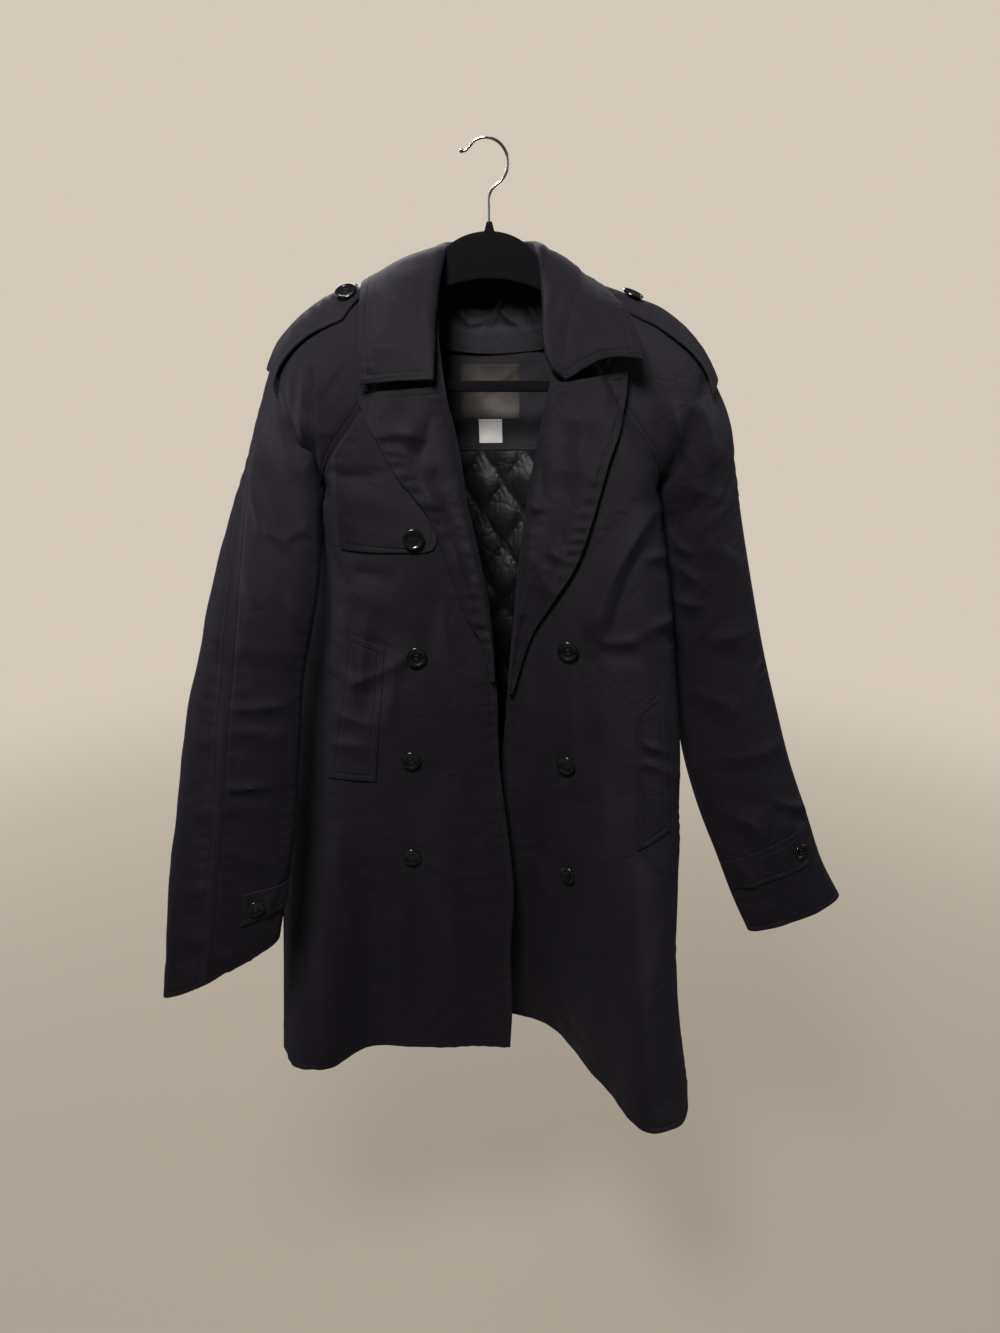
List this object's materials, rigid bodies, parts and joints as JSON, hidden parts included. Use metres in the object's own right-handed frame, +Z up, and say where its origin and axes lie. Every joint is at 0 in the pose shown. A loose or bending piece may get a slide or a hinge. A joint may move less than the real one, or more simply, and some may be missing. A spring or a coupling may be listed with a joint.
{
  "type": "double-breasted trench coat on a hanger",
  "caption": "Dark trench coat worn open on a slim domed hanger: raglan sleeves, epaulettes, storm flap, notched lapels, cuff tabs and quilted lining.",
  "frame": {"origin": "underside of the crown of the hanger's wire hook, where it hangs on a rail or peg", "axes": "+Z up; -Y out of the coat's front, towards the viewer; +X towards the viewer's right"},
  "size_m": [0.7675, 0.2495, 1.0031],
  "materials": {
    "coat_cloth": "matte twill, black with a faint cool cast",
    "quilted_satin": "black satin, quilted in diamonds",
    "label_satin": "dark grey woven satin, bare",
    "white_tab": "white woven tape, bare",
    "button_gloss": "black, glossy",
    "hanger_velvet": "black flocked velvet",
    "chrome_wire": "bright chrome wire"
  },
  "bodies": {
    "root": {"back": "coat_cloth", "back_neck_facing": "coat_cloth", "collar": "coat_cloth", "collar_stand": "coat_cloth", "flap_button": "button_gloss", "hanger_bar": "hanger_velvet", "hanger_body": "hanger_velvet", "hanger_hook": "chrome_wire", "left_button_1": "button_gloss", "left_button_2": "button_gloss", "left_button_3": "button_gloss", "left_cuff_button": "button_gloss", "left_cuff_tab": "coat_cloth", "left_epaulette": "coat_cloth", "left_epaulette_button": "button_gloss", "left_front": "coat_cloth", "left_lapel": "coat_cloth", "left_pocket_welt": "coat_cloth", "left_sleeve_back": "coat_cloth", "left_sleeve_front": "coat_cloth", "neck_label": "label_satin", "quilted_lining": "quilted_satin", "right_button_1": "button_gloss", "right_button_2": "button_gloss", "right_button_3": "button_gloss", "right_cuff_button": "button_gloss", "right_cuff_tab": "coat_cloth", "right_epaulette": "coat_cloth", "right_epaulette_button": "button_gloss", "right_front": "coat_cloth", "right_lapel": "coat_cloth", "right_pocket_welt": "coat_cloth", "right_sleeve_back": "coat_cloth", "right_sleeve_cap_back": "coat_cloth", "right_sleeve_front": "coat_cloth", "size_tab": "white_tab", "storm_flap": "coat_cloth"}
  },
  "joints": []
}
